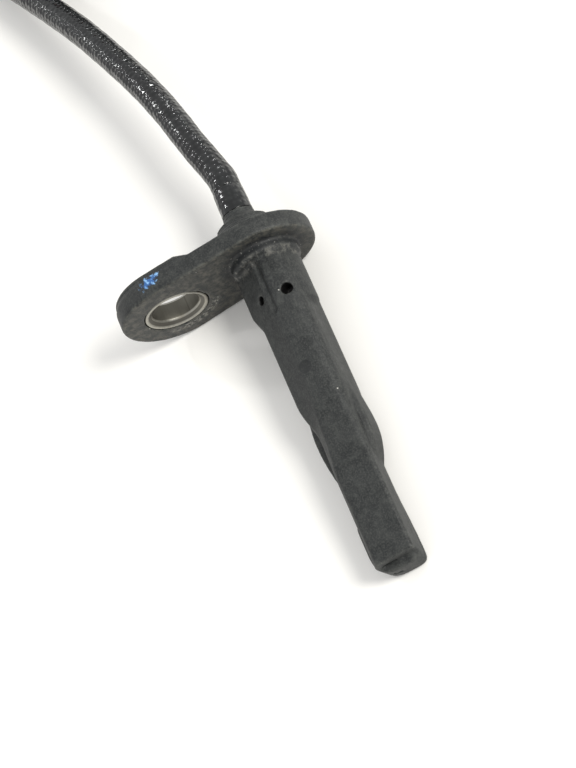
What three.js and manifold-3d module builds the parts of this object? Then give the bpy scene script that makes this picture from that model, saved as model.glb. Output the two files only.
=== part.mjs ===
// Wheel speed sensor: a moulded probe with a flange, a steel bush and a sleeved lead.
// Millimetres. The head is drawn with x along the probe to its tip (0 at the flange underside),
// y away from the mounting lobe and z out of the front face, and is then laid on its rear edges.
import * as THREE from "three";
import { mergeVertices } from "three/addons/utils/BufferGeometryUtils.js";
import Module from "manifold-3d";

const wasm = await Module();
wasm.setup();

// Flange
const flangeThickness = 3.2;
const lobeThickness = 4.4;
const bigEndRadius = 9.2;
const lobeRadius = 9.7;
const lobeOffset = 17.74;
const flangeRound = 0.35;
const padStart = -11.5;
const padRamp = 3.0;
const padInset = 0.3;

// Steel bush and its seat
const bushRadius = 5.6;
const boltRadius = 4.15;
const bushFit = 0.15;
const bushSetBack = 0.05;
const bushProud = 0.15;
const bushEdge = 0.2;
const bushRim = 0.65;
const bushDish = 0.75;

// Boss that the cable leaves by
const bossOffset = -1.2;
const cableBore = 2.25;
const bossLength = 9.2;

// Probe
const probeLength = 58.6;
const rootRadius = 6.0;
const rootLength = 1.85;
const collarLeft = { radius: 5.9, taperStart: 9.4, taperEnd: 14.2 };
const collarRight = { radius: 5.45, taperStart: 10.9, taperEnd: 12.2 };
const collarWaist = 4.4;
const shoulder = {
  left: 4.7, right: 4.7, rightRear: 4.55, front: 4.8, ridge: -0.6, edge: 2.0, rear: 4.2, round: 2.8,
};
const middle = {
  left: 3.3, right: 4.35, rightRear: 4.2, front: 4.25, ridge: -1.6, edge: 2.1, rear: 3.3, round: 1.5,
};
const waist = {
  left: 3.45, right: 4.1, rightRear: 3.65, front: 3.6, ridge: -2.6, edge: 2.3, rear: 2.4, round: 0.6,
};
const shoulderEnd = 27;
const middlePlace = 34.5;
const waistStart = 42;
const blockEnd = 57.4;
const tongueTop = 1.3;
const tongueRear = 3.3;

// Cavity that the carrier slides into
const cavityHalfWidth = 2.5;
const cavityFloor = -1.4;
const cavityTop = 1.6;
const cavityEnd = 56.4;
const cavityStart = 2.0;
const fit = 0.3;

// Marks on the front: [radius, depth, x, y, z]
const frontHole = [0.95, 2.6, 9.2, 2.74, 4.8];
const facetHole = [0.75, 1.3, 8.26, -2.48, 3.52];
const ejectorMark = [1.05, 0.14, 22.8, 0.35, 4.8];
const grooveEnd = 12.0;
const grooveHalfWidth = 0.5;
const grooveDepth = 0.55;
const ribOffset = 0.8;
const ribRadius = 1.0;
const ribHeight = 0.2;
const ribEnd = 11.8;

// Carrier and what it holds
const carrierStart = 13.5;
const carrierWall = 0.5;
const carrierBase = 0.5;
const carrierHeight = 1.7;
const chipSize = { length: 4.0, width: 2.8, height: 0.85 };
const leadPitch = 1.56;
const leadWidth = 0.7;
const leadThickness = 0.25;
const crimpStart = 15.0;
const crimpLength = 3.4;
const crimpRadius = 0.62;
const crimpBore = 0.42;
const conductorRadius = 0.26;
const coreRadius = 0.7;
const corePitch = 1.75;
const coreEnd = 12.0;

// Cable
const jacketRadius = 2.0;
const jacketStart = -1.5;
const sleeveStart = -9.4;
const sleeveEnd = -14.0;
const sleeveRadius = 2.6;
const cuffRadius = 2.75;
const leadSides = 10;

// Coil, tie and connector, put away beside the part
const coilRadius = 26;
const coilHalfWidth = 5.4;
const coilHeight = 10.2;
const coilCentre = [-134.8, 1.2];
const coilSegments = 48;
const tieAngle = 0.7;
const tieWidth = 4.0;
const tieThickness = 1.0;
const connectorSpot = [-157.0, -2.7];
const connectorHeading = 1.518;
const connectorAxis = 6.0;
const bootLength = 11;
const housingHalfWidth = 7.2;
const housingLength = 16;
const noseLength = 8;

const weld = 1e-4;

const moulding = new THREE.MeshStandardMaterial({ color: "#43464a", roughness: 0.62, metalness: 0 });
const steel = new THREE.MeshStandardMaterial({ color: "#c4c4ba", roughness: 0.38, metalness: 1 });
const carrierPlastic = new THREE.MeshStandardMaterial({ color: "#2c2d2e", roughness: 0.7, metalness: 0 });
const epoxy = new THREE.MeshStandardMaterial({ color: "#1d1d1e", roughness: 0.5, metalness: 0 });
const tinned = new THREE.MeshStandardMaterial({ color: "#b9b7ae", roughness: 0.4, metalness: 1 });
const copper = new THREE.MeshStandardMaterial({ color: "#b5714b", roughness: 0.4, metalness: 1 });
const coreBlue = new THREE.MeshStandardMaterial({ color: "#3d5c8c", roughness: 0.6, metalness: 0 });
const coreBrown = new THREE.MeshStandardMaterial({ color: "#6b4630", roughness: 0.6, metalness: 0 });
const ceramic = new THREE.MeshStandardMaterial({ color: "#8d7f68", roughness: 0.6, metalness: 0 });
const jacket = new THREE.MeshStandardMaterial({ color: "#26272a", roughness: 0.7, metalness: 0 });
const sleeve = new THREE.MeshStandardMaterial({ color: "#2d3034", roughness: 0.8, metalness: 0 });
const connectorPlastic = new THREE.MeshStandardMaterial({ color: "#3a3c40", roughness: 0.55, metalness: 0 });
const tiePlastic = new THREE.MeshStandardMaterial({ color: "#1c1c1d", roughness: 0.5, metalness: 0 });
const sealRubber = new THREE.MeshStandardMaterial({ color: "#8a3f33", roughness: 0.7, metalness: 0 });
const lockPlastic = new THREE.MeshStandardMaterial({ color: "#c8c8c2", roughness: 0.5, metalness: 0 });

const group = new THREE.Group();
group.name = "wheel_speed_sensor";
const headNodes = [];

// Helpers for solids

function solidFrom(geometry) {
  const bare = geometry.clone();
  bare.deleteAttribute("normal");
  bare.deleteAttribute("uv");
  const welded = mergeVertices(bare, weld);
  const mesh = new wasm.Mesh({
    numProp: 3,
    vertProperties: new Float32Array(welded.attributes.position.array),
    triVerts: new Uint32Array(welded.index.array),
  });
  return new wasm.Manifold(mesh);
}

function geometryFrom(solid) {
  const mesh = solid.getMesh();
  const shared = new THREE.BufferGeometry();
  shared.setAttribute("position", new THREE.BufferAttribute(new Float32Array(mesh.vertProperties), 3));
  shared.setIndex(new THREE.BufferAttribute(new Uint32Array(mesh.triVerts), 1));
  const flat = shared.toNonIndexed();
  flat.computeVertexNormals();
  return flat;
}

function addNode(name, geometry, material) {
  const mesh = new THREE.Mesh(geometry, material);
  mesh.name = name;
  group.add(mesh);
  return mesh;
}

function addHeadNode(name, geometry, material) {
  headNodes.push(addNode(name, geometry, material));
}

// A closed outline whose corners [a, b, r] are rounded by r
function roundedShape(corners) {
  const shape = new THREE.Shape();
  const count = corners.length;
  for (let i = 0; i < count; i += 1) {
    const corner = new THREE.Vector2(corners[i][0], corners[i][1]);
    const before = corners[(i + count - 1) % count];
    const after = corners[(i + 1) % count];
    const back = new THREE.Vector2(before[0], before[1]).sub(corner).setLength(corners[i][2]);
    const ahead = new THREE.Vector2(after[0], after[1]).sub(corner).setLength(corners[i][2]);
    const start = corner.clone().add(back);
    const end = corner.clone().add(ahead);
    if (i === 0) {
      shape.moveTo(start.x, start.y);
    } else {
      shape.lineTo(start.x, start.y);
    }
    shape.quadraticCurveTo(corner.x, corner.y, end.x, end.y);
  }
  shape.closePath();
  return shape;
}

function extruded(shape, depth, options = {}) {
  const settings = { depth, bevelEnabled: false, curveSegments: 5, ...options };
  return new THREE.ExtrudeGeometry(shape, settings);
}

// The outline is in y and z, and the solid runs from x = start to x = end
function alongProbe(shape, start, end, options = {}) {
  const geometry = extruded(shape, end - start, options);
  const turn = new THREE.Matrix4().makeBasis(
    new THREE.Vector3(0, 1, 0),
    new THREE.Vector3(0, 0, 1),
    new THREE.Vector3(1, 0, 0),
  );
  geometry.applyMatrix4(turn);
  geometry.translate(start, 0, 0);
  return geometry;
}

// The outline is in x and y, and the solid runs from z = low to z = high
function upward(shape, low, high, options = {}) {
  return extruded(shape, high - low, options).translate(0, 0, low);
}

function box(x0, x1, y0, y1, z0, z1) {
  const geometry = new THREE.BoxGeometry(x1 - x0, y1 - y0, z1 - z0);
  return geometry.translate((x0 + x1) / 2, (y0 + y1) / 2, (z0 + z1) / 2);
}

// A turned solid about the probe's direction; the profile holds [radius, x] pairs either way round
function turned(profile, segments, y = 0, z = 0) {
  const points = profile.map(([radius, x]) => new THREE.Vector2(radius, x));
  if (THREE.ShapeUtils.area(points) < 0) {
    points.reverse();
  }
  const geometry = new THREE.LatheGeometry(points, segments);
  geometry.rotateZ(-Math.PI / 2);
  return geometry.translate(0, y, z);
}

function rod(radius, x0, x1, segments, y = 0, z = 0) {
  return turned([[0, x0], [radius, x0], [radius, x1], [0, x1]], segments, y, z);
}

function ring(outer, inner, x0, x1, segments, y = 0, z = 0) {
  const profile = [[inner, x0], [outer, x0], [outer, x1], [inner, x1], [inner, x0]];
  return turned(profile, segments, y, z);
}

function circleShape(radius, sides) {
  const shape = new THREE.Shape();
  for (let i = 0; i < sides; i += 1) {
    const angle = (i / sides) * Math.PI * 2;
    const x = radius * Math.cos(angle);
    const y = radius * Math.sin(angle);
    if (i === 0) {
      shape.moveTo(x, y);
    } else {
      shape.lineTo(x, y);
    }
  }
  shape.closePath();
  return shape;
}

function tube(points, radius, sides, steps) {
  const path = new THREE.CatmullRomCurve3(points, false, "centripetal");
  return extruded(circleShape(radius, sides), 0, { extrudePath: path, steps });
}

// Housing

// Two arcs joined by their common tangents, in y and z
function flangeShape(inset) {
  const big = bigEndRadius - inset;
  const lobe = lobeRadius - inset;
  const touch = Math.acos((lobe - big) / lobeOffset);
  const shape = new THREE.Shape();
  shape.absarc(0, 0, big, touch - Math.PI, Math.PI - touch, false);
  shape.absarc(-lobeOffset, 0, lobe, Math.PI - touch, Math.PI + touch, false);
  shape.closePath();
  return shape;
}

function plate(inset, start, end) {
  const options = {
    curveSegments: 30,
    bevelEnabled: true,
    bevelThickness: flangeRound,
    bevelSize: flangeRound,
    bevelOffset: -flangeRound,
    bevelSegments: 3,
  };
  return alongProbe(flangeShape(inset), start + flangeRound, end - flangeRound, options);
}

function flangeSolid() {
  const thin = solidFrom(plate(0, -flangeThickness, 0));
  const thick = solidFrom(plate(padInset, -lobeThickness, -flangeRound));
  const reach = lobeOffset + lobeRadius + 1;
  const ramp = new THREE.Shape();
  ramp.moveTo(-lobeThickness - 1, -reach);
  ramp.lineTo(1, -reach);
  ramp.lineTo(1, padStart + padRamp);
  ramp.lineTo(0.1 - flangeThickness, padStart + padRamp);
  ramp.lineTo(-lobeThickness, padStart);
  ramp.lineTo(-lobeThickness - 1, padStart);
  ramp.closePath();
  const lobeSide = solidFrom(upward(ramp, -12, 12));
  const seat = solidFrom(rod(bushRadius + bushFit, -lobeThickness - 1, 1, 48, -lobeOffset));
  return thin.add(thick.intersect(lobeSide)).subtract(seat);
}

// Stepped cone that carries the cable, as [radius, distance behind the flange underside]
function bossSolid() {
  const steps = [[7.0, 2.6], [7.0, 3.4], [6.0, 4.3], [5.6, 4.5], [5.6, 5.1], [4.7, 6.2]];
  steps.push([4.7, 6.8], [3.6, 7.4], [2.85, 8.1], [2.75, bossLength]);
  const profile = [[0, -2.0], [7.0, -2.0]];
  for (const [radius, behind] of steps) {
    profile.push([radius, -behind]);
  }
  profile.push([0, -bossLength]);
  return solidFrom(turned(profile, 40, bossOffset));
}

// The section at a place along the probe: the shoulder's, then the middle's, then the waist's
function sectionAt(x) {
  const past = x > middlePlace;
  const [near, far] = past ? [middle, waist] : [shoulder, middle];
  const share = past
    ? THREE.MathUtils.smoothstep(x, middlePlace, waistStart)
    : THREE.MathUtils.smoothstep(x, shoulderEnd, middlePlace);
  const section = {};
  for (const key of Object.keys(shoulder)) {
    section[key] = THREE.MathUtils.lerp(near[key], far[key], share);
  }
  return section;
}

// The front face ends at the ridge, and a facet slants from there to the left side's top edge
function sectionShape({ left, right, rightRear, front, ridge, edge, rear, round }) {
  return roundedShape([
    [rightRear, -rear, 1.3],
    [right, front, round],
    [ridge, front, 0.4],
    [-left, edge, 0.5],
    [-left, -rear, 1.2],
  ]);
}

// A skin through the sections, with a flat cap at each end
function probeBodySolid(start, end) {
  const arcPoints = 4;
  const steps = 12;
  const stations = [start, shoulderEnd];
  const step = (waistStart - shoulderEnd) / steps;
  for (let i = 1; i <= steps; i += 1) {
    stations.push(shoulderEnd + i * step);
  }
  stations.push(end);
  const rings = stations.map((x) => {
    const outline = sectionShape(sectionAt(x)).getPoints(arcPoints);
    outline.pop();
    return outline.map((point) => new THREE.Vector3(x, point.x, point.y));
  });
  const sides = rings[0].length;
  const positions = rings.flat().flatMap((point) => point.toArray());
  const faces = [];
  for (let r = 0; r < rings.length - 1; r += 1) {
    for (let i = 0; i < sides; i += 1) {
      const a = r * sides + i;
      const b = r * sides + ((i + 1) % sides);
      faces.push(a, b, b + sides, a, b + sides, a + sides);
    }
  }
  const last = (rings.length - 1) * sides;
  for (let i = 1; i < sides - 1; i += 1) {
    faces.push(0, i + 1, i);
    faces.push(last, last + i, last + i + 1);
  }
  const geometry = new THREE.BufferGeometry();
  geometry.setAttribute("position", new THREE.Float32BufferAttribute(positions, 3));
  geometry.setIndex(faces);
  return solidFrom(geometry);
}

// One side of the collar, from the flange to where it has narrowed to the probe
function collarHalf({ radius, taperStart, taperEnd }, low, high) {
  const round = solidFrom(turned([
    [0, taperEnd],
    [collarWaist, taperEnd],
    [radius, taperStart],
    [radius, -1],
    [0, -1],
  ], 48));
  return round.intersect(solidFrom(box(-2, taperEnd + 1, low, high, -10, 10)));
}

// Collar at the root, cut by the front face and the slanting facet
function collarSolid() {
  const reach = 20;
  const slope = (shoulder.front - shoulder.edge) / (shoulder.ridge + shoulder.left);
  const flats = roundedShape([
    [reach, -reach, 0.1],
    [reach, shoulder.front, 0.1],
    [shoulder.ridge, shoulder.front, 0.4],
    [-reach, shoulder.front - slope * (reach + shoulder.ridge), 0.1],
  ]);
  const halves = collarHalf(collarLeft, -10, 0.1).add(collarHalf(collarRight, 0, 10));
  const cut = halves.intersect(solidFrom(alongProbe(flats, -2, 20)));
  const root = solidFrom(turned([
    [0, rootLength],
    [rootRadius - 0.4, rootLength],
    [rootRadius, rootLength - 0.4],
    [rootRadius, -1],
    [0, -1],
  ], 48));
  return cut.add(root);
}

// Low fins on both sides where the shoulder narrows to the waist
function wingSolids() {
  const rightEdge = new THREE.Shape();
  rightEdge.moveTo(26, 2.0);
  rightEdge.lineTo(42.2, 2.0);
  rightEdge.lineTo(42.2, 3.2);
  rightEdge.bezierCurveTo(39.6, 4.5, 37.6, 5.25, 34.8, 5.3);
  rightEdge.bezierCurveTo(32.0, 5.3, 30.0, 4.8, 26, 4.6);
  rightEdge.closePath();
  const leftEdge = new THREE.Shape();
  leftEdge.moveTo(44.2, -2.0);
  leftEdge.lineTo(27, -2.0);
  leftEdge.lineTo(27, -4.1);
  leftEdge.bezierCurveTo(30.5, -4.3, 31.6, -4.75, 34, -4.75);
  leftEdge.bezierCurveTo(37.5, -4.75, 40.5, -4.2, 44.2, -3.3);
  leftEdge.closePath();
  const rounding = { bevelEnabled: true, bevelThickness: 0.4, bevelSize: 0.4, bevelOffset: -0.4 };
  const options = { ...rounding, bevelSegments: 2, curveSegments: 7 };
  const right = solidFrom(upward(rightEdge, -2.0, 1.4, options));
  const left = solidFrom(upward(leftEdge, -2.0, 0.5, options));
  return right.add(left);
}

// Rounded plate at the tip, wider and lower than the block in front of it
function tongueSolid() {
  const outline = roundedShape([
    [probeLength, -4.1, 3.9],
    [probeLength + 0.1, 3.65, 1.5],
    [54.5, 3.65, 2.0],
    [44.0, 3.2, 0.8],
    [44.0, 0, 0.8],
    [49.4, -4.1, 1.2],
  ]);
  const rounding = { bevelEnabled: true, bevelThickness: 0.55, bevelSize: 0.55, bevelOffset: -0.55 };
  const options = { ...rounding, bevelSegments: 3, curveSegments: 6 };
  return solidFrom(upward(outline, 0.55 - tongueRear, tongueTop - 0.55, options));
}

// A bar along the probe with a round far end, its outline in x and y
function barShape(halfWidth, start, end) {
  return roundedShape([
    [start, -halfWidth, 0.1],
    [end, -halfWidth, halfWidth * 0.95],
    [end, halfWidth, halfWidth * 0.95],
    [start, halfWidth, 0.1],
  ]);
}

const facetSlope = Math.atan2(shoulder.front - shoulder.edge, shoulder.ridge + shoulder.left);

// The groove runs along the ridge between front face and facet
function grooveSolid() {
  const bar = upward(barShape(grooveHalfWidth, rootLength + 0.1, grooveEnd), -grooveDepth, 2);
  bar.rotateX(facetSlope / 2);
  return solidFrom(bar.translate(0, shoulder.ridge, shoulder.front));
}

// The rib stands on the front face beside the groove, as a rod that is mostly sunk into it
function ribSolid() {
  const z = shoulder.front + ribHeight - ribRadius;
  const profile = [[0, 1], [ribRadius, 1], [ribRadius, ribEnd - ribRadius], [0, ribEnd]];
  return solidFrom(turned(profile, 32, ribOffset, z));
}

function drilling([radius, depth, x, y, z], lean) {
  const drill = new THREE.CylinderGeometry(radius, radius, depth * 2, 20);
  drill.rotateX(Math.PI / 2 + lean);
  return solidFrom(drill.translate(x, y, z));
}

function cavitySolid() {
  const bore = solidFrom(rod(cableBore, -bossLength - 1, cavityStart + 1, 32, bossOffset));
  const chamber = box(cavityStart, cavityEnd, -cavityHalfWidth, cavityHalfWidth, cavityFloor, cavityTop);
  const slot = box(cavityEnd - 1, probeLength + 1, -1.9, 0.7, -1.25, -0.75);
  return bore.add(solidFrom(chamber)).add(solidFrom(slot));
}

function housingSolid() {
  const undercut = solidFrom(box(blockEnd - 0.6, blockEnd + 0.3, -2.2, 3.2, tongueTop - 0.05, tongueTop + 0.5));
  const probe = collarSolid()
    .add(probeBodySolid(-1, blockEnd))
    .add(wingSolids())
    .add(tongueSolid())
    .subtract(grooveSolid())
    .add(ribSolid())
    .subtract(drilling(frontHole, 0))
    .subtract(drilling(facetHole, facetSlope))
    .subtract(drilling(ejectorMark, 0))
    .subtract(undercut);
  return flangeSolid().add(bossSolid()).add(probe).subtract(cavitySolid());
}

// Bush

function bushGeometry() {
  const front = -bushSetBack;
  const back = -lobeThickness - bushProud;
  const profile = [
    [boltRadius, back + bushDish],
    [bushRadius - bushRim, back],
    [bushRadius - bushEdge, back],
    [bushRadius, back + bushEdge],
    [bushRadius, front - bushEdge],
    [bushRadius - bushEdge, front],
    [bushRadius - bushRim, front],
    [boltRadius, front - bushDish],
    [boltRadius, back + bushDish],
  ];
  return turned(profile, 48, -lobeOffset);
}

// Carrier, chip and wiring inside the probe

function carrierGeometry() {
  const outer = cavityHalfWidth - fit;
  const inner = outer - carrierWall;
  const low = cavityFloor + fit;
  const end = cavityEnd - fit;
  const block = solidFrom(box(carrierStart, end, -outer, outer, low, low + carrierHeight));
  const trough = box(carrierStart - 1, end - carrierWall, -inner, inner, low + carrierBase, cavityTop + 1);
  return geometryFrom(block.subtract(solidFrom(trough)));
}

function buildInside() {
  const floor = cavityFloor + fit + carrierBase + fit;
  const chipEnd = cavityEnd - fit - carrierWall - fit;
  const chipStart = chipEnd - chipSize.length;
  const chipTop = floor + chipSize.height;
  const chip = box(chipStart, chipEnd, -chipSize.width / 2, chipSize.width / 2, floor, chipTop);
  const leadLow = floor + chipSize.height / 2 - leadThickness / 2;
  const leadHigh = leadLow + leadThickness;
  const leadStart = crimpStart + crimpLength + fit;
  addHeadNode("chip_carrier", carrierGeometry(), carrierPlastic);
  addHeadNode("sensor_chip", chip, epoxy);
  const capacitorLow = leadHigh + fit;
  addHeadNode("filter_capacitor", box(42.5, 45.7, -1.2, 1.2, capacitorLow, capacitorLow + 0.8), ceramic);
  for (const [name, side, coreColour] of [["left", -1, coreBlue], ["right", 1, coreBrown]]) {
    const y = (side * leadPitch) / 2;
    const strip = box(leadStart, chipStart - fit, y - leadWidth / 2, y + leadWidth / 2, leadLow, leadHigh);
    const crimpZ = (leadLow + leadHigh) / 2;
    const crimp = ring(crimpRadius, crimpBore, crimpStart, crimpStart + crimpLength, 16, y, crimpZ);
    const wire = rod(conductorRadius, coreEnd + fit, crimpStart + crimpLength - 0.5, 12, y, crimpZ);
    const coreY = (side * corePitch) / 2;
    const route = [
      new THREE.Vector3(jacketStart + fit, bossOffset + coreY, 0),
      new THREE.Vector3(1.2, bossOffset + coreY, 0),
      new THREE.Vector3(6.5, coreY, crimpZ / 2),
      new THREE.Vector3(10.5, y, crimpZ),
      new THREE.Vector3(coreEnd, y, crimpZ),
    ];
    addHeadNode(`${name}_lead_strip`, strip, tinned);
    addHeadNode(`${name}_crimp`, crimp, tinned);
    addHeadNode(`${name}_conductor`, wire, copper);
    addHeadNode(`${name}_core`, tube(route, coreRadius, 10, 14), coreColour);
  }
}

addHeadNode("sensor_housing", geometryFrom(housingSolid()), moulding);
addHeadNode("mounting_bush", bushGeometry(), steel);
buildInside();

// Lay the head on the rear edges of its flange and the rear edge of its tip

const lobeLift = Math.asin((lobeRadius - bigEndRadius) / lobeOffset);
const tipDrop = Math.atan((bigEndRadius - tongueRear) / (probeLength - 1));
const lie = new THREE.Matrix4().makeRotationY(tipDrop);
lie.multiply(new THREE.Matrix4().makeRotationX(-lobeLift));
const bounds = new THREE.Box3();
for (const node of headNodes) {
  node.geometry.applyMatrix4(lie);
  node.geometry.computeBoundingBox();
  bounds.union(node.geometry.boundingBox);
}
const centre = bounds.getCenter(new THREE.Vector3());
const shift = new THREE.Matrix4().makeTranslation(-centre.x, -centre.y, -bounds.min.z);
for (const node of headNodes) {
  node.geometry.applyMatrix4(shift);
}
const placeHead = shift.clone().multiply(lie);

// Cable

function addCableEnd() {
  const end = rod(jacketRadius, sleeveEnd, jacketStart, 24, bossOffset);
  const cuff = ring(cuffRadius, jacketRadius + 0.2, sleeveEnd, sleeveStart, 24, bossOffset);
  addNode("cable_end", end.applyMatrix4(placeHead), jacket);
  addNode("sleeve_cuff", cuff.applyMatrix4(placeHead), sleeve);
}

function vectors(places) {
  return places.map(([x, y, z]) => new THREE.Vector3(x, y, z));
}

// Straight out of the boss, along the surface and down to the coil
function addLeadRun() {
  const exit = new THREE.Vector3(sleeveEnd - fit, bossOffset, 0).applyMatrix4(placeHead);
  const route = [exit].concat(vectors([
    [-41.8, 7.66, 10.95],
    [-50.0, 5.4, 11.4],
    [-58.6, 3.2, 11.4],
    [-67.1, 0.4, 11.0],
    [-76.8, -3.5, 10.2],
    [-85.7, -7.4, 9.2],
    [-94.7, -11.9, 8.0],
    [-103.0, -16.3, 6.8],
    [-107.2, -18.5, 6.15],
  ]));
  addNode("lead_run", tube(route, sleeveRadius, leadSides, 26), sleeve);
}

// Off the top turn and up into the connector, which lies on the coil
function addLeadTail() {
  const route = vectors([
    [-148.2, -20.8, 13.3],
    [-153.4, -15.5, 14.9],
    [-156.4, -8.9, 16.1],
    [-157.05, -4.6, 16.47],
    [-156.99, -3.15, 16.5],
  ]);
  addNode("lead_tail", tube(route, sleeveRadius, leadSides, 10), sleeve);
}

// Outline of the three turns together, two below and one above, narrowed by inset
function bundleShape(inset) {
  const side = coilHalfWidth - inset;
  const top = coilHeight - inset;
  return roundedShape([
    [-side, inset, 1.6],
    [side, inset, 1.6],
    [side, 5.0, 2.0],
    [2.6 - inset / 2, top, 1.2],
    [inset / 2 - 2.6, top, 1.2],
    [-side, 5.0, 2.0],
  ]);
}

// A short length of the bundle's outline, lying across the coil at the tie
function acrossCoil(shape, length) {
  const outward = new THREE.Vector3(Math.cos(tieAngle), Math.sin(tieAngle), 0);
  const up = new THREE.Vector3(0, 0, 1);
  const along = outward.clone().cross(up);
  const geometry = extruded(shape, length);
  geometry.translate(0, 0, -length / 2);
  geometry.applyMatrix4(new THREE.Matrix4().makeBasis(outward, up, along));
  const x = coilCentre[0] + coilRadius * outward.x;
  const y = coilCentre[1] + coilRadius * outward.y;
  return solidFrom(geometry.translate(x, y, 0));
}

function addCoilAndTie() {
  const outline = bundleShape(0).getPoints(2);
  const profile = outline.map((point) => new THREE.Vector2(point.x + coilRadius, point.y));
  const turns = new THREE.LatheGeometry(profile, coilSegments);
  turns.rotateX(Math.PI / 2);
  turns.translate(coilCentre[0], coilCentre[1], 0);
  const waistCut = acrossCoil(bundleShape(-1), tieWidth + 2 * fit);
  const core = acrossCoil(bundleShape(tieThickness + fit), tieWidth + 1);
  const coil = solidFrom(turns).subtract(waistCut.subtract(core));
  const band = acrossCoil(bundleShape(0), tieWidth).subtract(acrossCoil(bundleShape(tieThickness), tieWidth + 1));
  addNode("lead_coil", geometryFrom(coil), sleeve);
  addNode("coil_tie", geometryFrom(band), tiePlastic);
}

// Connector, drawn with x to its mating face and z up

function noseShape(inset) {
  const half = housingHalfWidth - 1.6 - inset;
  const low = 1.8 + inset;
  const high = 10.2 - inset;
  return roundedShape([[half, low, 1.2], [half, high, 1.2], [-half, high, 1.2], [-half, low, 1.2]]);
}

function connectorSolid() {
  const start = bootLength + fit;
  const shell = roundedShape([
    [housingHalfWidth, 0, 1.5],
    [housingHalfWidth, 12, 1.5],
    [-housingHalfWidth, 12, 1.5],
    [-housingHalfWidth, 0, 1.5],
  ]);
  const end = start + housingLength;
  const body = solidFrom(alongProbe(shell, start, end));
  const nose = solidFrom(alongProbe(noseShape(0), end - 1, end + noseLength));
  const armFoot = solidFrom(box(start + 1.5, start + 4.5, -2.6, 2.6, 11, 14.2));
  const arm = solidFrom(box(start + 1.5, end + 3, -2.6, 2.6, 13.0, 14.2));
  const catchTooth = solidFrom(box(end + 1.2, end + 3, -2.6, 2.6, 12.2, 13.1));
  let solid = body.add(nose).add(armFoot).add(arm).add(catchTooth);
  for (const side of [-1, 1]) {
    const y = side * 2.5;
    solid = solid.subtract(solidFrom(box(end - 3, end + noseLength + 1, y - 1.3, y + 1.3, 5.1, 6.9)));
    const grip = solidFrom(box(start + 3, end - 3, side * housingHalfWidth - 0.5, side * housingHalfWidth + 0.5, 3, 9));
    solid = solid.subtract(grip);
  }
  return solid.subtract(solidFrom(box(start + 5, start + 11, -4.3, 4.3, -1, 1.5)));
}

function addConnector() {
  const place = new THREE.Matrix4().makeRotationZ(connectorHeading);
  place.setPosition(connectorSpot[0], connectorSpot[1], coilHeight + fit);
  const add = (name, geometry, material) => addNode(name, geometry.applyMatrix4(place), material);
  const start = bootLength + fit;
  const end = start + housingLength;
  const bootProfile = [[0, 0], [3.5, 0], [3.9, 4], [4.8, 6], [5.2, bootLength], [0, bootLength]];
  add("connector_boot", turned(bootProfile, 28, 0, connectorAxis), sealRubber);
  add("connector_housing", geometryFrom(connectorSolid()), connectorPlastic);
  const sealOuter = solidFrom(alongProbe(noseShape(-1.0), end + fit, end + 3.0));
  const sealInner = solidFrom(alongProbe(noseShape(-0.2), end, end + 4.0));
  add("connector_seal", geometryFrom(sealOuter.subtract(sealInner)), sealRubber);
  add("connector_lock", box(start + 5.3, start + 10.7, -4.0, 4.0, 0.2, 1.2), lockPlastic);
  for (const [name, side] of [["left", 1], ["right", -1]]) {
    const y = side * 2.5;
    const contact = box(end - 2.7, end + noseLength - 1, y - 1.0, y + 1.0, 5.4, 6.6);
    add(`${name}_terminal`, contact, tinned);
  }
}

addCableEnd();
addLeadRun();
addLeadTail();
addCoilAndTie();
addConnector();

export default group;
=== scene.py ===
# %% [markdown]
# A wheel speed sensor, dressed for its picture
#
# The sensor is one dark nylon moulding: a probe with a flange, a lobe with a rolled steel bush for one
# bolt, and a stepped boss that grips a sleeved lead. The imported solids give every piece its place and
# size. This script gives them the soft moulded edges, the dust and the wear of a used part, and lays the
# lead as one real cable. Everything is in metres, in the frame of the solids. The head, which is the
# moulding with its bush, is also measured in its own millimetres: x to the tip, y away from the lobe and
# z out of the front face, with zero where the probe's axis meets the flange's underside.

# %% Frame and imports
import math

import bmesh
import bpy
import numpy as np
from mathutils import Matrix, Vector


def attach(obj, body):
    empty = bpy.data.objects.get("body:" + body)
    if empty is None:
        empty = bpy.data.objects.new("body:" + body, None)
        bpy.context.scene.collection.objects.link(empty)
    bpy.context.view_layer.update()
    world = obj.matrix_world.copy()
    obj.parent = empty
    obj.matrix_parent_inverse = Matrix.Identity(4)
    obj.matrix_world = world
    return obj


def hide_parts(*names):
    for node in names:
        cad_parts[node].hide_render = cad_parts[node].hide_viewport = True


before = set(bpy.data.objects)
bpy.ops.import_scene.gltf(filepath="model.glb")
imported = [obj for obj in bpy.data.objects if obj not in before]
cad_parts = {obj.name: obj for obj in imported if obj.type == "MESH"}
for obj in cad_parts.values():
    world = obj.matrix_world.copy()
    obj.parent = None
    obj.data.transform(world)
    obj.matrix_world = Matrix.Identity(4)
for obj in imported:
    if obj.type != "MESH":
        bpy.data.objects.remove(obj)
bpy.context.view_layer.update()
MM = 0.001
print("nodes:", len(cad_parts))

# %% [markdown]
# The head lies on the rear edges of its flange and the rear edge of its tip. The same few lengths that
# set that lie in the solids give the matrix from the head's own millimetres to the frame. Its shift,
# the place where the probe's axis meets the flange's underside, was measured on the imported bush.

# %% The head's own frame
BIG_END_RADIUS = 9.2
LOBE_RADIUS = 9.7
LOBE_OFFSET = 17.74
TONGUE_REAR = 3.3
PROBE_LENGTH = 58.6
BOSS_OFFSET = -1.2
SLEEVE_END = -14.0
UNDERSIDE_MIDDLE = (-24.503, 9.118, 9.268)

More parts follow.
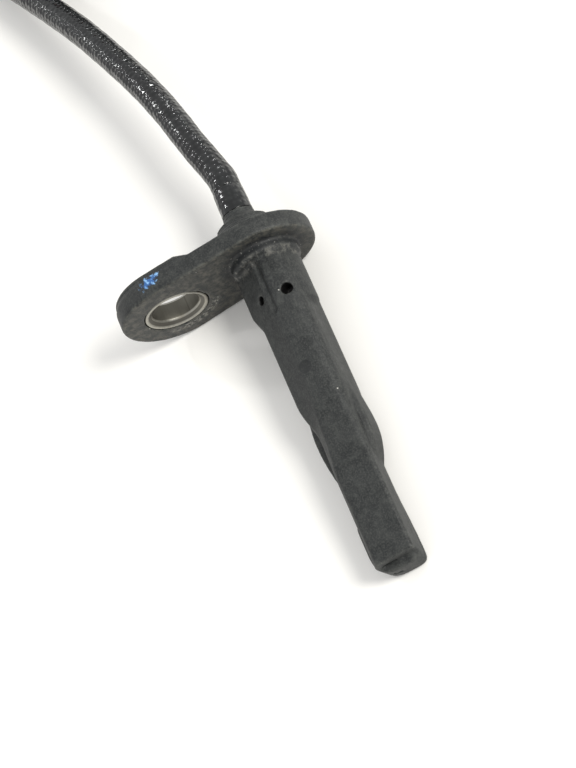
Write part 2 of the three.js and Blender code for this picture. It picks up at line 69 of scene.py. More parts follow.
lobe_lift = math.asin((LOBE_RADIUS - BIG_END_RADIUS) / LOBE_OFFSET)
tip_drop = math.atan((BIG_END_RADIUS - TONGUE_REAR) / (PROBE_LENGTH - 1))
head_turn = Matrix.Rotation(tip_drop, 4, "Y") @ Matrix.Rotation(-lobe_lift, 4, "X")
head_to_frame = Matrix.Translation(Vector(UNDERSIDE_MIDDLE) * MM) @ head_turn @ Matrix.Scale(MM, 4)
frame_to_head = head_to_frame.inverted()
print("tip drops by", round(math.degrees(tip_drop), 2), "degrees")

# %% [markdown]
# The photograph was taken from above the tip's side with the picture turned, so the camera is set by
# its place and by where its right-hand side and its top point. The lens is long: the object is small
# in a view taken from 0.4 m.

# %% Camera
CAMERA_PLACE = (0.18182, 0.12829, 0.32722)
CAMERA_RIGHT = (0.3208, 0.8057, -0.4979)
CAMERA_TOP = (-0.8201, 0.4993, 0.2794)
FOCAL_PIXELS = 2416
PICTURE_HEIGHT = 768
SENSOR_HEIGHT = 24.0


def make_camera():
    right = Vector(CAMERA_RIGHT).normalized()
    back = right.cross(Vector(CAMERA_TOP)).normalized()
    top = back.cross(right)
    data = bpy.data.cameras.new("camera")
    data.sensor_fit = "VERTICAL"
    data.sensor_height = SENSOR_HEIGHT
    data.lens = FOCAL_PIXELS / PICTURE_HEIGHT * SENSOR_HEIGHT
    data.clip_start = 0.01
    camera = bpy.data.objects.new("camera", data)
    bpy.context.scene.collection.objects.link(camera)
    camera.matrix_world = Matrix.Translation(CAMERA_PLACE) @ Matrix((right, top, back)).transposed().to_4x4()
    bpy.context.scene.camera = camera
    return camera


camera = make_camera()
print("lens", round(camera.data.lens, 1), "mm")

# %% [markdown]
# The lead is a two-core cable in a knobbly sleeve, 5.2 mm thick and about 0.63 m long. It leaves the
# boss straight, stays a little above the table where its stiffness holds it, and comes down outside
# the picture. The rest is wound into three turns with a tie: one outside, one inside and one on top,
# each strand passing over the ones that it crosses. The tail rises off the top turn into the connector,
# which lies on the coil. Each turn is worked out by a loop from a few stations of angle, radius and
# height.

# %% The lead's route
SLEEVE_RADIUS = 2.6
STRAIGHT_LENGTH = 1.2
TURN_STEP = 12
LINE_STEP = 0.4
COIL_CENTRE = (-134.8, 1.2)
COIL_START_ANGLE = -71.9
RUN_POINTS = [
    (-41.8, 7.66, 10.95),
    (-50.0, 5.4, 11.4),
    (-58.6, 3.2, 11.4),
    (-67.1, 0.4, 11.0),
    (-76.8, -3.5, 10.2),
    (-85.7, -7.4, 9.2),
    (-94.7, -11.9, 8.0),
    (-103.0, -16.3, 6.8),
    (-110.6, -20.3, 5.6),
    (-118.4, -23.7, 4.2),
]
# The angle turned so far in degrees, the radius and the height
TURN_STATIONS = [
    (0, 28.6, 3.1),
    (270, 28.6, 3.0),
    (330, 23.4, 3.0),
    (560, 23.4, 3.0),
    (620, 23.4, 8.2),
    (764, 23.4, 8.2),
    (812, 26.0, 7.5),
    (892, 26.0, 7.5),
    (944, 28.7, 8.2),
    (984, 28.7, 8.4),
    (1032, 28.6, 9.6),
    (1080, 28.4, 10.4),
    (1092, 28.2, 10.7),
]
TAIL_POINTS = [
    (-142.4, -25.4, 11.7),
    (-148.4, -21.0, 13.4),
    (-153.4, -15.4, 14.9),
    (-155.8, -10.9, 15.8),
    (-156.8, -6.9, 16.3),
    (-157.0, -3.1, 16.5),
]


def turn_points(step):
    points = []
    for angle in range(0, TURN_STATIONS[-1][0] + 1, step):
        for near, far in zip(TURN_STATIONS, TURN_STATIONS[1:]):
            if near[0] <= angle <= far[0]:
                share = (angle - near[0]) / (far[0] - near[0])
                share = share * share * (3 - 2 * share)
                radius = near[1] + (far[1] - near[1]) * share
                height = near[2] + (far[2] - near[2]) * share
        place = math.radians(COIL_START_ANGLE - angle)
        x = COIL_CENTRE[0] + radius * math.cos(place)
        y = COIL_CENTRE[1] + radius * math.sin(place)
        points.append((x, y, height))
    return points


def smooth_line(points, spacing):
    """Points a constant spacing apart on the smooth curve through the given points."""
    p = np.array(points, float)
    p = np.vstack([2 * p[0] - p[1], p, 2 * p[-1] - p[-2]])
    fine = []
    for a, b, c, d in zip(p, p[1:], p[2:], p[3:]):
        for t in np.linspace(0, 1, 24, endpoint=False):
            fine.append(0.5 * (2 * b + (c - a) * t + (2 * a - 5 * b + 4 * c - d) * t**2
                               + (3 * b - a - 3 * c + d) * t**3))
    fine.append(p[-2])
    fine = np.array(fine)
    along = np.concatenate([[0], np.cumsum(np.linalg.norm(np.diff(fine, axis=0), axis=1))])
    places = np.linspace(0, along[-1], int(round(along[-1] / spacing)) + 1)
    return np.stack([np.interp(places, along, fine[:, i]) for i in range(3)], axis=1), along[-1]


exit_point = head_to_frame @ Vector((SLEEVE_END, BOSS_OFFSET, 0))
straight_end = head_to_frame @ Vector((SLEEVE_END - STRAIGHT_LENGTH, BOSS_OFFSET, 0))
route = [tuple(exit_point / MM), tuple(straight_end / MM)]
route += RUN_POINTS + turn_points(TURN_STEP) + TAIL_POINTS
lead_line, lead_length = smooth_line(route, LINE_STEP)
print("lead length", round(lead_length), "mm")

# %% The lead as a tube with its own measured surface
LEAD_SIDES = 28
SKIN_DEPTH = 0.06


def link(name, mesh):
    piece = bpy.data.objects.new(name, mesh)
    bpy.context.scene.collection.objects.link(piece)
    return piece


def tube_mesh(name, line, radius_at, sides):
    """A closed tube along a line. Its UV map holds turns round the tube and millimetres along it."""
    mesh = bmesh.new()
    uv = mesh.loops.layers.uv.new("sleeve")
    forward = np.gradient(line, axis=0)
    forward /= np.linalg.norm(forward, axis=1)[:, None]
    side = np.cross(forward[0], (0, 0, 1))
    along = np.concatenate([[0], np.cumsum(np.linalg.norm(np.diff(line, axis=0), axis=1))])
    rings = []
    for index, middle in enumerate(line):
        side = side - forward[index] * np.dot(side, forward[index])
        side /= np.linalg.norm(side)
        over = np.cross(side, forward[index])
        ring = []
        for k in range(sides):
            angle = 2 * math.pi * k / sides
            radius = radius_at(along[index], angle)
            place = middle + radius * (math.cos(angle) * side + math.sin(angle) * over)
            ring.append(mesh.verts.new(place * MM))
        rings.append(ring)
    for i in range(len(rings) - 1):
        for k in range(sides):
            k2 = (k + 1) % sides
            face = mesh.faces.new((rings[i][k], rings[i][k2], rings[i + 1][k2], rings[i + 1][k]))
            face.smooth = True
            corners = ((k, i), (k + 1, i), (k + 1, i + 1), (k, i + 1))
            for loop, (turn, station) in zip(face.loops, corners):
                loop[uv].uv = (turn / sides, along[station])
    mesh.faces.new(rings[0][::-1])
    mesh.faces.new(rings[-1])
    bmesh.ops.recalc_face_normals(mesh, faces=mesh.faces)
    made = bpy.data.meshes.new(name)
    mesh.to_mesh(made)
    mesh.free()
    return made


def sleeve_radius(along, angle):
    """The sleeve is a little uneven, and stays inside its nominal radius."""
    wander = 0.02 * math.sin(along * 0.9 + 2 * angle) + 0.015 * math.sin(along * 2.3 - 3 * angle)
    return SLEEVE_RADIUS - SKIN_DEPTH + wander


lead = link("sleeved_lead", tube_mesh("sleeved_lead", lead_line, sleeve_radius, LEAD_SIDES))
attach(lead, "root")
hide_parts("lead_run", "lead_coil", "lead_tail")
print("lead faces", len(lead.data.polygons))

# %% [markdown]
# Materials are small node trees. One function adds a node, sets its values and joins its inputs, and
# one turns a screen colour into the linear colour that the nodes want. Patterns are measured in
# millimetres, either in the head's own frame, which each head piece carries as the attribute "head",
# or in object space.

# %% Material helpers


def linear(code):
    values = [int(code[i:i + 2], 16) / 255 for i in (1, 3, 5)]
    curve = [v / 12.92 if v <= 0.04045 else ((v + 0.055) / 1.055) ** 2.4 for v in values]
    return (*curve, 1.0)


def new_material(name):
    material = bpy.data.materials.new(name)
    material.use_nodes = True
    tree = material.node_tree
    tree.nodes.clear()
    output = tree.nodes.new("ShaderNodeOutputMaterial")
    surface = tree.nodes.new("ShaderNodeBsdfPrincipled")
    tree.links.new(surface.outputs[0], output.inputs[0])
    return material, tree, surface


def add(tree, kind, inputs=None, **settings):
    """Adds a node. inputs maps an input's name or number to a value or to another node's output."""
    made = tree.nodes.new("ShaderNode" + kind)
    for key, value in settings.items():
        setattr(made, key, value)
    for key, value in (inputs or {}).items():
        if isinstance(value, bpy.types.NodeSocket):
            tree.links.new(value, made.inputs[key])
        else:
            made.inputs[key].default_value = value
    return made


def join(tree, surface, **sockets):
    for name, value in sockets.items():
        target = surface.inputs[name.replace("_", " ")]
        if isinstance(value, bpy.types.NodeSocket):
            tree.links.new(value, target)
        else:
            target.default_value = value


def calc(tree, operation, a, b=0.0, c=0.0):
    return add(tree, "Math", {0: a, 1: b, 2: c}, operation=operation).outputs[0]


def between(tree, value, low, high):
    """0 below low, 1 above high and a smooth rise between them."""
    made = add(tree, "MapRange", {"Value": value, "From Min": low, "From Max": high},
               interpolation_type="SMOOTHSTEP")
    return made.outputs[0]


def noise(tree, place, size, detail=3.0, rough=0.55):
    """Noise whose features are about size long in the units of place."""
    made = add(tree, "TexNoise", {"Vector": place, "Scale": 1 / size, "Detail": detail, "Roughness": rough})
    return made.outputs["Fac"]


def mix(tree, share, first, second):
    made = add(tree, "Mix", data_type="RGBA")
    for index, value in ((0, share), (6, first), (7, second)):
        if isinstance(value, bpy.types.NodeSocket):
            tree.links.new(value, made.inputs[index])
        else:
            made.inputs[index].default_value = value
    return made.outputs[2]


def bump(tree, height, distance, strength=1.0, under=None):
    inputs = {"Height": height, "Distance": distance, "Strength": strength}
    if under is not None:
        inputs["Normal"] = under
    return add(tree, "Bump", inputs).outputs[0]


def millimetres(tree):
    """Object space in millimetres."""
    place = add(tree, "TexCoord").outputs["Object"]
    return add(tree, "VectorMath", {0: place, 1: (1000, 1000, 1000)}, operation="MULTIPLY").outputs[0]


def head_place(tree):
    return add(tree, "Attribute", attribute_name="head", attribute_type="GEOMETRY").outputs["Vector"]


# %% [markdown]
# The moulding is dark grey glass-filled nylon. New, it is even and satin. This one has been on a car, so
# it has a blotchy film of fine dust, painted shade with dark dirt and pale crumbs in the recess where the
# probe leaves the flange, marks round the bush from the face it was bolted to, a dab of blue paint from
# inspection on the side of its lobe and a few pale specks. Each is a mask in the head's own millimetres,
# broken up by noise. The skin also carries how sharply it bends, as the attribute "bend": its creases
# get painted shade and its edges are rubbed a little lighter.

# %% Moulding material
# Each hole's x and y, the degrees that it leans, its z and its radius
HOLES = [(9.2, 2.74, 0.0, 4.8, 0.95), (8.26, -2.48, 34.33, 3.52, 0.75)]
# The mark's x, y and radius
EJECTOR_MARK = (22.8, 0.35, 1.05)
PAINT_X = -2.4
PAINT_Y = -16.7
CRUMBS_Y = -4.6
CRUMBS_Z = 4.6


def times(tree, *values):
    """All the values multiplied."""
    product = values[0]
    for value in values[1:]:
        product = calc(tree, "MULTIPLY", product, value)
    return product


def outside(tree, value, low, high):
    """1 below low, 0 above high and a smooth fall between them."""
    return calc(tree, "SUBTRACT", 1.0, between(tree, value, low, high))


def reach(tree, a, b, a0=0.0, b0=0.0):
    """The distance of the point (a, b) from (a0, b0)."""
    da = calc(tree, "SUBTRACT", a, a0)
    db = calc(tree, "SUBTRACT", b, b0)
    return calc(tree, "SQRT", calc(tree, "ADD", times(tree, da, da), times(tree, db, db)))


def hole_shade(tree, x, y, z):
    """1 well inside the two moulded holes."""
    shade = 0.0
    for hole_x, hole_y, lean, hole_z, radius in HOLES:
        c, s = math.cos(math.radians(lean)), math.sin(math.radians(lean))
        across = calc(tree, "ADD", times(tree, y, c), times(tree, z, s))
        height = calc(tree, "SUBTRACT", times(tree, z, c), times(tree, y, s))
        away = reach(tree, x, across, hole_x, hole_y * c + hole_z * s)
        mouth = hole_z * c - hole_y * s
        inside = times(tree, outside(tree, away, radius, radius + 0.15),
                       outside(tree, height, mouth - 0.3, mouth + 0.02))
        shade = calc(tree, "MAXIMUM", shade, inside)
    return shade


def paint_mask(tree, x, y, z, daub):
    """A ragged oval dab on the lobe's side, 17 mm from the probe's axis."""
    along = calc(tree, "SUBTRACT", y, PAINT_Y)
    slant = calc(tree, "ADD", calc(tree, "SUBTRACT", x, PAINT_X), times(tree, along, 0.15))
    oval = reach(tree, times(tree, slant, 1.25), times(tree, along, 0.62))
    ragged = calc(tree, "ADD", oval, times(tree, calc(tree, "SUBTRACT", daub, 0.5), -3.6))
    return times(tree, outside(tree, ragged, 0.7, 1.15), between(tree, z, 8.0, 8.8))


def moulding_material():
    material, tree, surface = new_material("glass_filled_nylon")
    place = head_place(tree)
    bend = add(tree, "Attribute", attribute_name="bend", attribute_type="GEOMETRY").outputs["Fac"]
    axes = add(tree, "SeparateXYZ", {0: place}).outputs
    x, y, z = axes[0], axes[1], axes[2]
    blotch = noise(tree, place, 3.2, 5.0, 0.62)
    mottle = noise(tree, place, 1.1, 4.0, 0.65)
    grain = noise(tree, place, 0.28, 2.0, 0.6)
    colour = mix(tree, between(tree, blotch, 0.35, 0.68), linear("#141718"), linear("#262828"))
    colour = mix(tree, times(tree, between(tree, mottle, 0.4, 0.68), 0.45), colour, linear("#3a3c3a"))
    colour = mix(tree, times(tree, between(tree, grain, 0.42, 0.72), 0.45), colour, linear("#474946"))

    away = reach(tree, y, z)
    underside = times(tree, between(tree, x, -0.3, -0.05), outside(tree, x, 0.2, 0.6))
    film = between(tree, noise(tree, place, 1.3, 4.0, 0.7), 0.38, 0.7)
    colour = mix(tree, times(tree, underside, film, 0.6), colour, linear("#625f56"))
    # Painted shade and dark dirt in the recess round the probe's root. The same zone holds pale crumbs.
    root = times(tree, between(tree, away, 5.0, 5.8), outside(tree, away, 6.3, 8.2),
                 outside(tree, x, 0.6, 2.8), between(tree, x, -0.5, -0.05))
    ragged = between(tree, noise(tree, place, 1.8, 3.0, 0.6), 0.3, 0.52)
    colour = mix(tree, times(tree, root, ragged, 0.85), colour, linear("#131619"))
    lip = times(tree, between(tree, x, 1.2, 1.6), outside(tree, x, 2.2, 3.4), outside(tree, away, 6.2, 6.6))
    colour = mix(tree, times(tree, lip, between(tree, mottle, 0.45, 0.65), 0.5), colour, linear("#6e6c66"))
    crumbs = between(tree, noise(tree, place, 0.42, 3.0, 0.65), 0.62, 0.7)
    near = outside(tree, reach(tree, y, z, CRUMBS_Y, CRUMBS_Z), 1.2, 3.4)
    crumb_zone = calc(tree, "MAXIMUM", times(tree, root, near), times(tree, root, 0.35))
    colour = mix(tree, times(tree, crumb_zone, crumbs), colour, linear("#a9a7a0"))

    bush_away = reach(tree, y, z, -LOBE_OFFSET, 0.0)
    ring = times(tree, between(tree, bush_away, 6.0, 6.2), outside(tree, bush_away, 7.4, 7.7), underside)
    from_bush = calc(tree, "ADD", y, LOBE_OFFSET)
    low_side = between(tree, calc(tree, "SUBTRACT", times(tree, from_bush, 0.25), z), 3.5, 5.5)
    arcs = between(tree, calc(tree, "SINE", times(tree, bush_away, 15.0)), 0.1, 0.7)
    worn = between(tree, noise(tree, place, 0.8, 4.0, 0.65), 0.47, 0.57)
    colour = mix(tree, times(tree, ring, low_side, worn, calc(tree, "MAXIMUM", arcs, 0.35), 0.75),
                 colour, linear("#a09e96"))

    # Painted shade in the skin's creases, where "bend" is below 0.
    colour = mix(tree, times(tree, between(tree, times(tree, bend, -1.0), 0.12, 0.6), 0.6),
                 colour, linear("#101214"))
    rubbed = times(tree, between(tree, bend, 0.12, 0.5), between(tree, mottle, 0.35, 0.6), 0.4)
    colour = mix(tree, rubbed, colour, linear("#62645f"))
    mark_away = reach(tree, x, y, EJECTOR_MARK[0], EJECTOR_MARK[1])
    front = between(tree, z, 4.0, 4.4)
    disc = times(tree, outside(tree, mark_away, EJECTOR_MARK[2], EJECTOR_MARK[2] + 0.12), front)
    rim = times(tree, disc, between(tree, mark_away, EJECTOR_MARK[2] - 0.3, EJECTOR_MARK[2] - 0.1))
    colour = mix(tree, times(tree, disc, between(tree, grain, 0.35, 0.5), 0.7), colour, linear("#141617"))
    colour = mix(tree, times(tree, rim, 0.3), colour, linear("#15181a"))
    colour = mix(tree, hole_shade(tree, x, y, z), colour, linear("#030303"))

    daub = noise(tree, place, 0.7, 3.0, 0.6)
    paint = mix(tree, between(tree, daub, 0.5, 0.62), linear("#2f5f9c"), linear("#86b4e2"))
    colour = mix(tree, times(tree, paint_mask(tree, x, y, z, daub), 0.9), colour, paint)

    speck = add(tree, "TexVoronoi", {"Vector": place, "Scale": 0.28}).outputs["Distance"]
    colour = mix(tree, times(tree, calc(tree, "LESS_THAN", speck, 0.035), 0.7), colour, linear("#b9b8b0"))

    gloss = add(tree, "MapRange", {"Value": blotch, "From Min": 0.3, "From Max": 0.7,
                                   "To Min": 0.5, "To Max": 0.66}).outputs[0]
    fine = bump(tree, grain, 0.00003, 0.7)
    coarse = bump(tree, mottle, 0.00008, 0.5, fine)
    boss = outside(tree, x, -3.6, -3.2)
    ridges = times(tree, calc(tree, "SINE", times(tree, x, 11.0)), boss)
    ridged = bump(tree, ridges, 0.00006, 0.6, coarse)
    join(tree, surface, Base_Color=colour, Roughness=gloss, Normal=ridged, Specular_IOR_Level=0.4)
    return material


moulding = moulding_material()
print("moulding nodes", len(moulding.node_tree.nodes))

# %% [markdown]
# The sleeve is rubbery with small knobs in rows, each of which catches its own small light. The knobs
# are a height pattern of low rounded cells, about 1 mm apart, and shiny, so only those that face a lamp
# light up. They are laid out by turns round the sleeve and millimetres along it: on the lead by the
# tube's own map, and on the cuff by its place in the head.

# %% Sleeve material
KNOBS_ROUND = 17.0
KNOBS_PER_MILLIMETRE = 1.05


def sleeve_material(name, knob_height, on_head=False):
    material, tree, surface = new_material(name)
    if on_head:
        axes = add(tree, "SeparateXYZ", {0: head_place(tree)}).outputs
        turn = calc(tree, "ARCTAN2", axes[2], calc(tree, "SUBTRACT", axes[1], BOSS_OFFSET))
        around = times(tree, turn, KNOBS_ROUND / (2 * math.pi))
        along = times(tree, axes[0], KNOBS_PER_MILLIMETRE)
    else:
        axes = add(tree, "SeparateXYZ", {0: add(tree, "UVMap", uv_map="sleeve").outputs[0]}).outputs
        around = times(tree, axes[0], KNOBS_ROUND)
        along = times(tree, axes[1], KNOBS_PER_MILLIMETRE)
    cell = add(tree, "CombineXYZ", {0: around, 1: along, 2: 0.0}).outputs[0]
    knobs = add(tree, "TexVoronoi", {"Vector": cell, "Scale": 1.0, "Randomness": 0.45},
                voronoi_dimensions="2D", feature="SMOOTH_F1")
    dome = outside(tree, knobs.outputs["Distance"], 0.05, 0.62)
    tone = noise(tree, millimetres(tree), 3.0, 3.0)
    colour = mix(tree, between(tree, tone, 0.35, 0.7), linear("#0c0e0f"), linear("#191b1c"))
    colour = mix(tree, times(tree, dome, 0.2), colour, linear("#3a3c3c"))
    gloss = add(tree, "MapRange", {"Value": tone, "From Min": 0.3, "From Max": 0.7,
                                   "To Min": 0.1, "To Max": 0.2}).outputs[0]
    join(tree, surface, Base_Color=colour, Roughness=gloss, Normal=bump(tree, dome, knob_height))
    return material


lead.data.materials.append(sleeve_material("knobbly_sleeve", 0.00011))

# %% [markdown]
# The metals keep their default refractive index. The bush is rolled steel strip, dull and finely
# scratched along its length, with painted shade in its bore and in the chamfer's hollow. Small inner
# parts that hardly show get a plain material each, with a trace of unevenness.

# %% Metal, rubber and plain plastics
SEAM_OFFSET = 0.6


def steel_material():
    material, tree, surface = new_material("rolled_steel")
    place = head_place(tree)
    axes = add(tree, "SeparateXYZ", {0: place}).outputs
    stretched = add(tree, "VectorMath", {0: place, 1: (0.25, 3.0, 3.0)}, operation="MULTIPLY").outputs[0]
    streak = noise(tree, stretched, 1.6, 3.0, 0.6)
    stain = between(tree, noise(tree, place, 2.4, 4.0, 0.65), 0.45, 0.7)
    colour = mix(tree, streak, linear("#8b8981"), linear("#b6b4ab"))
    away = reach(tree, axes[1], axes[2], -LOBE_OFFSET, 0.0)
    bore = outside(tree, away, 4.17, 4.26)
    colour = mix(tree, times(tree, stain, 0.4), colour, linear("#8a8272"))
    # Painted shade in the bore, over its streaked steel.
    bore_shade_colour = mix(tree, streak, linear("#55534c"), linear("#6c6a62"))
    colour = mix(tree, times(tree, bore, 0.9), colour, bore_shade_colour)
    # Painted shade in the chamfer's hollow.
    chamfer_shade = times(tree, between(tree, away, 4.36, 4.5), outside(tree, away, 4.92, 5.05))
    colour = mix(tree, times(tree, chamfer_shade, 0.85), colour, linear("#504e49"))
    seam_place = calc(tree, "SUBTRACT", axes[1], SEAM_OFFSET - LOBE_OFFSET)
    seam = outside(tree, calc(tree, "ABSOLUTE", seam_place), 0.06, 0.16)
    seam = times(tree, seam, bore, outside(tree, axes[2], -1.0, 0.0))
    colour = mix(tree, times(tree, seam, 0.35), colour, linear("#3a3732"))
    rough = add(tree, "MapRange", {"Value": streak, "To Min": 0.32, "To Max": 0.5}).outputs[0]
    rough = calc(tree, "ADD", rough, times(tree, bore, 0.22))
    join(tree, surface, Base_Color=colour, Metallic=1.0, Roughness=rough,
         Normal=bump(tree, streak, 0.00003, 0.5))
    return material


def plain_material(name, dark, light, roughness, metallic=0.0, grain=0.6):
    material, tree, surface = new_material(name)
    place = millimetres(tree)
    tone = noise(tree, place, 4.0, 3.0)
    fine = noise(tree, place, grain, 2.0)
    colour = mix(tree, between(tree, tone, 0.35, 0.7), linear(dark), linear(light))
    rough = add(tree, "MapRange", {"Value": tone, "To Min": roughness - 0.08, "To Max": roughness + 0.08})
    join(tree, surface, Base_Color=colour, Roughness=rough.outputs[0], Metallic=metallic,
         Normal=bump(tree, fine, 0.00002, 0.5))
    return material


rolled_steel = steel_material()
plain = {
    "carrier": plain_material("carrier_plastic", "#27282a", "#313335", 0.6),
    "epoxy": plain_material("chip_epoxy", "#19191b", "#222224", 0.5),
    "ceramic": plain_material("capacitor_ceramic", "#85775f", "#958770", 0.6),
    "tin": plain_material("tin_plate", "#aaa79d", "#c4c1b6", 0.4, 1.0, 0.3),
    "copper": plain_material("bare_copper", "#a5603c", "#c27f58", 0.4, 1.0, 0.3),
    "blue": plain_material("blue_insulation", "#365481", "#426296", 0.55),
    "brown": plain_material("brown_insulation", "#623f2b", "#724b34", 0.55),
    "jacket": plain_material("cable_jacket", "#232427", "#2c2d30", 0.6),
    "tie": plain_material("tie_nylon", "#1a1a1b", "#242426", 0.45),
    "shell": plain_material("connector_shell", "#303236", "#3c3f43", 0.5),
    "silicone": plain_material("silicone_seal", "#7f382d", "#944638", 0.6),
    "lock": plain_material("lock_plastic", "#bdbdb6", "#cfcfc9", 0.45),
}

# %% [markdown]
# The housing's solid has the right forms but hard, faceted edges. A moulding has none: every edge is
# rounded by the tool and by wear. A fine volume remesh turns the solid into an even skin, and a few
# rounds of smoothing round each edge by about a fifth of a millimetre. How sharply the skin bends at
# each point is kept for the material: above 0 on edges and below 0 in creases.

# %% Housing skin
SKIN_SIZE = 0.24


def merged_copy(name, node):
    """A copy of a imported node's mesh with its split corners merged."""
    made = bmesh.new()
    made.from_mesh(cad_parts[node].data)
    bmesh.ops.remove_doubles(made, verts=made.verts, dist=0.000002)
    bmesh.ops.recalc_face_normals(made, faces=made.faces)
    mesh = bpy.data.meshes.new(name)
    made.to_mesh(mesh)
    made.free()
    return mesh


def apply_modifiers(piece):
    """Replaces the piece's mesh by what its modifiers make of it."""
    graph = bpy.context.evaluated_depsgraph_get()
    result = bpy.data.meshes.new_from_object(piece.evaluated_get(graph))
    piece.modifiers.clear()
    piece.data = result
    return piece


def write_head_places(piece):
    """Stores each point's place in the head's own millimetres."""
    layer = piece.data.attributes.new("head", "FLOAT_VECTOR", "POINT")
    places = [tuple(frame_to_head @ v.co) for v in piece.data.vertices]
    layer.data.foreach_set("vector", np.array(places, np.float32).ravel())


def write_bend(piece, rounds):
    """Stores how far each point stands out of its neighbours, as a share of their distance."""
    mesh = piece.data
    count = len(mesh.vertices)
    places = np.empty(count * 3, np.float32)
    mesh.vertices.foreach_get("co", places)
    places = places.reshape(-1, 3) / MM
    normals = np.empty(count * 3, np.float32)
    mesh.vertex_normals.foreach_get("vector", normals)
    normals = normals.reshape(-1, 3)
    edges = np.empty(len(mesh.edges) * 2, np.int64)
    mesh.edges.foreach_get("vertices", edges)
    a, b = edges.reshape(-1, 2).T
    links = np.bincount(a, minlength=count) + np.bincount(b, minlength=count)

    def around(values):
        return (np.bincount(a, values[b], count) + np.bincount(b, values[a], count)) / links

    middle = np.stack([around(places[:, i]) for i in range(3)], axis=1)
    bend = ((places - middle) * normals).sum(axis=1) / SKIN_SIZE * 4
    for _ in range(rounds):
        bend = 0.5 * bend + 0.5 * around(bend)
    mesh.attributes.new("bend", "FLOAT", "POINT").data.foreach_set("value", bend.astype(np.float32))
    print("bend from", round(float(bend.min()), 2), "to", round(float(bend.max()), 2))


def make_housing():
    piece = link("moulded_housing", merged_copy("moulded_housing", "sensor_housing"))
    skin = piece.modifiers.new("skin", "REMESH")
    skin.mode = "VOXEL"
    skin.voxel_size = SKIN_SIZE * MM
    even = piece.modifiers.new("even", "SMOOTH")
    even.factor = 0.5
    even.iterations = 3
    apply_modifiers(piece)
    for face in piece.data.polygons:
        face.use_smooth = True
    write_head_places(piece)
    write_bend(piece, 3)
    piece.data.materials.clear()
    piece.data.materials.append(moulding)
    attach(piece, "root")
    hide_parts("sensor_housing")
    return piece


housing = make_housing()
print("housing faces", len(housing.data.polygons))

# %% [markdown]
# The bush is rolled from strip and its ends are chamfered, so light runs round it in two thin rings.
# It is spun from a profile with small radii, and its seam is only a faint dark line in the material.

# %% Bush
BUSH_STEPS = 128
BUSH_PROFILE = [
    (4.15, -3.8), (4.3, -4.05), (4.95, -4.52), (5.1, -4.55), (5.4, -4.55), (5.55, -4.48), (5.6, -4.3),
    (5.6, -0.3), (5.56, -0.12), (5.42, -0.05), (5.2, -0.06), (5.08, -0.13), (4.95, -0.3), (4.62, -0.5),
    (4.34, -0.75), (4.2, -0.98), (4.15, -1.2),
]


def spun(name, profile, y, z, steps):
    """A closed ring from a profile of (radius, x) pairs, turned about a line along the head's x."""
    made = bmesh.new()
    corners = [made.verts.new((x, y + radius, z)) for radius, x in profile]
    edges = [made.edges.new((a, b)) for a, b in zip(corners, corners[1:] + corners[:1])]
    bmesh.ops.spin(made, geom=corners + edges, cent=(0, y, z), axis=(1, 0, 0), angle=2 * math.pi,
                   steps=steps, use_merge=True)
    bmesh.ops.remove_doubles(made, verts=made.verts, dist=0.0005)
    bmesh.ops.recalc_face_normals(made, faces=made.faces)
    made.transform(head_to_frame)
    mesh = bpy.data.meshes.new(name)
    made.to_mesh(mesh)
    made.free()
    for face in mesh.polygons:
        face.use_smooth = True
    piece = link(name, mesh)
    write_head_places(piece)
    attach(piece, "root")
    return piece


bush = spun("rolled_bush", BUSH_PROFILE, -LOBE_OFFSET, 0, BUSH_STEPS)
bush.data.materials.append(rolled_steel)
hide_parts("mounting_bush")
print("bush faces", len(bush.data.polygons))

# %% [markdown]
# The sleeve's last 5 mm before the boss is a smoother cuff, a little wider than the rest. The small
# pieces inside the probe keep their solids, and the connector's pieces get rounded edges.

# %% Cuff, inner pieces and connector
CUFF_STEPS = 64
CUFF_PROFILE = [
    (2.22, -13.97), (2.4, -14.0), (2.54, -14.0), (2.56, -13.97), (2.61, -13.5), (2.64, -12.4), (2.68, -11.2),
    (2.66, -10.2), (2.7, -9.7), (2.7, -9.26), (2.67, -9.22), (2.22, -9.22),
]
cuff = spun("sleeve_cuff_skin", CUFF_PROFILE, BOSS_OFFSET, 0, CUFF_STEPS)
cuff.data.materials.append(sleeve_material("cuff_sleeve", 0.00008, on_head=True))
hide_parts("sleeve_cuff")

INNER_MATERIALS = {
    "chip_carrier": "carrier", "sensor_chip": "epoxy", "filter_capacitor": "ceramic",
    "left_lead_strip": "tin", "right_lead_strip": "tin", "left_crimp": "tin", "right_crimp": "tin",
    "left_conductor": "copper", "right_conductor": "copper", "left_core": "blue", "right_core": "brown",
    "cable_end": "jacket", "left_terminal": "tin", "right_terminal": "tin",
}
for node_name, material_name in INNER_MATERIALS.items():
    node_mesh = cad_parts[node_name].data
    node_mesh.materials.clear()
    node_mesh.materials.append(plain[material_name])


def rounded_piece(name, node, width, material):
    """A copy of a node with its flat faces joined and its sharp edges rounded."""
    mesh = merged_copy(name, node)
    made = bmesh.new()
    made.from_mesh(mesh)
    bmesh.ops.dissolve_limit(made, angle_limit=math.radians(2), verts=made.verts, edges=made.edges)
    sharp = [e for e in made.edges if e.is_manifold and e.calc_face_angle() > math.radians(35)]
    bmesh.ops.bevel(made, geom=sharp, offset=width * MM, offset_type="OFFSET", segments=2, profile=0.5,
                    affect="EDGES", clamp_overlap=True, material=-1)
    made.to_mesh(mesh)
    made.free()
    piece = link(name, mesh)
    for face in mesh.polygons:
        face.use_smooth = True
    mesh.set_sharp_from_angle(angle=math.radians(40))
    mesh.materials.clear()
    mesh.materials.append(material)
    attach(piece, "root")
    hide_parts(node)
    return piece


connector_pieces = [
    rounded_piece("plug_boot", "connector_boot", 0.3, plain["silicone"]),
    rounded_piece("plug_shell", "connector_housing", 0.25, plain["shell"]),
    rounded_piece("plug_seal", "connector_seal", 0.25, plain["silicone"]),
    rounded_piece("plug_lock", "connector_lock", 0.15, plain["lock"]),
]
tie = rounded_piece("coil_tie_band", "coil_tie", 0.2, plain["tie"])

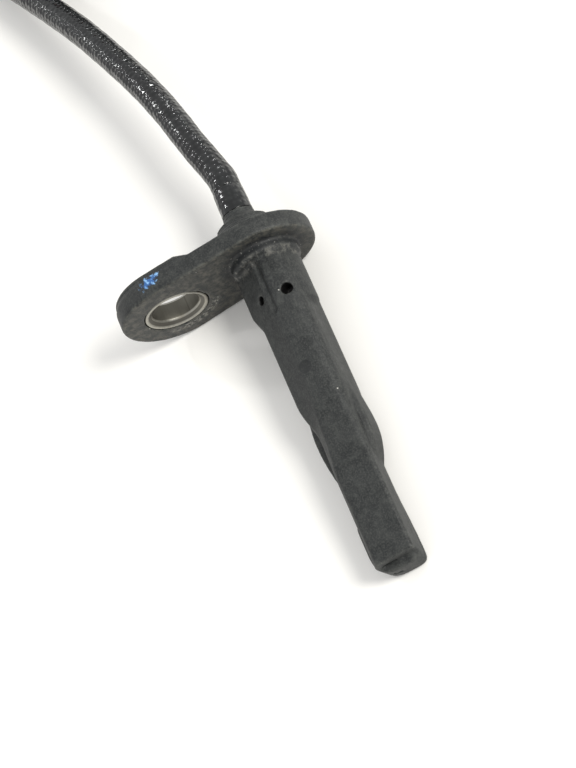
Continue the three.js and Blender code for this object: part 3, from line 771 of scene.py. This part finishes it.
# %% [markdown]
# The photograph is a bright product shot on white: a broad light from the side away from the lobe
# throws one soft shadow towards the lobe, and white all round fills the rest. Two small weak lamps give
# the sleeve's knobs their two rows of glints. The floor is white enough to vanish into the background
# and still holds the shadow.

# %% Floor and light
FLOOR_HALF = 1.5
KEY_PLACE = (0.16, 0.53, 0.5)
LEAD_MIDDLE = (-0.059, 0.003, 0.011)
GLINT_LEFT = (-0.384, -0.311, 0.405)
GLINT_RIGHT = (-0.553, 0.28, 0.207)
WORLD_STRENGTH = 0.8


def make_floor():
    mesh = bmesh.new()
    bmesh.ops.create_grid(mesh, x_segments=1, y_segments=1, size=FLOOR_HALF)
    data = bpy.data.meshes.new("floor")
    mesh.to_mesh(data)
    mesh.free()
    floor = link("floor", data)
    material, tree, surface = new_material("white_table")
    join(tree, surface, Base_Color=linear("#f6f5f2"), Roughness=0.9)
    surface.inputs["Specular IOR Level"].default_value = 0.1
    data.materials.append(material)
    return floor


def make_light(name, place, target, size, power, colour="#ffffff"):
    """A round lamp, size metres across and of power watts, aimed at the target."""
    data = bpy.data.lights.new(name, "AREA")
    data.shape = "DISK"
    data.size = size
    data.energy = power
    data.color = linear(colour)[:3]
    light = bpy.data.objects.new(name, data)
    bpy.context.scene.collection.objects.link(light)
    light.location = place
    aim = Vector(target) - Vector(place)
    light.rotation_euler = aim.to_track_quat("-Z", "Y").to_euler()
    return light


def make_world(strength):
    world = bpy.data.worlds.new("studio")
    bpy.context.scene.world = world
    world.use_nodes = True
    background = world.node_tree.nodes["Background"]
    background.inputs["Color"].default_value = (1.0, 1.0, 1.0, 1.0)
    background.inputs["Strength"].default_value = strength


floor = make_floor()
make_light("key", KEY_PLACE, (0, 0, 0), 0.26, 4.4, "#fffdf8")
make_light("glint_left", GLINT_LEFT, LEAD_MIDDLE, 0.05, 0.4)
make_light("glint_right", GLINT_RIGHT, LEAD_MIDDLE, 0.05, 0.3)
make_world(WORLD_STRENGTH)
bpy.context.scene.view_settings.view_transform = "Standard"
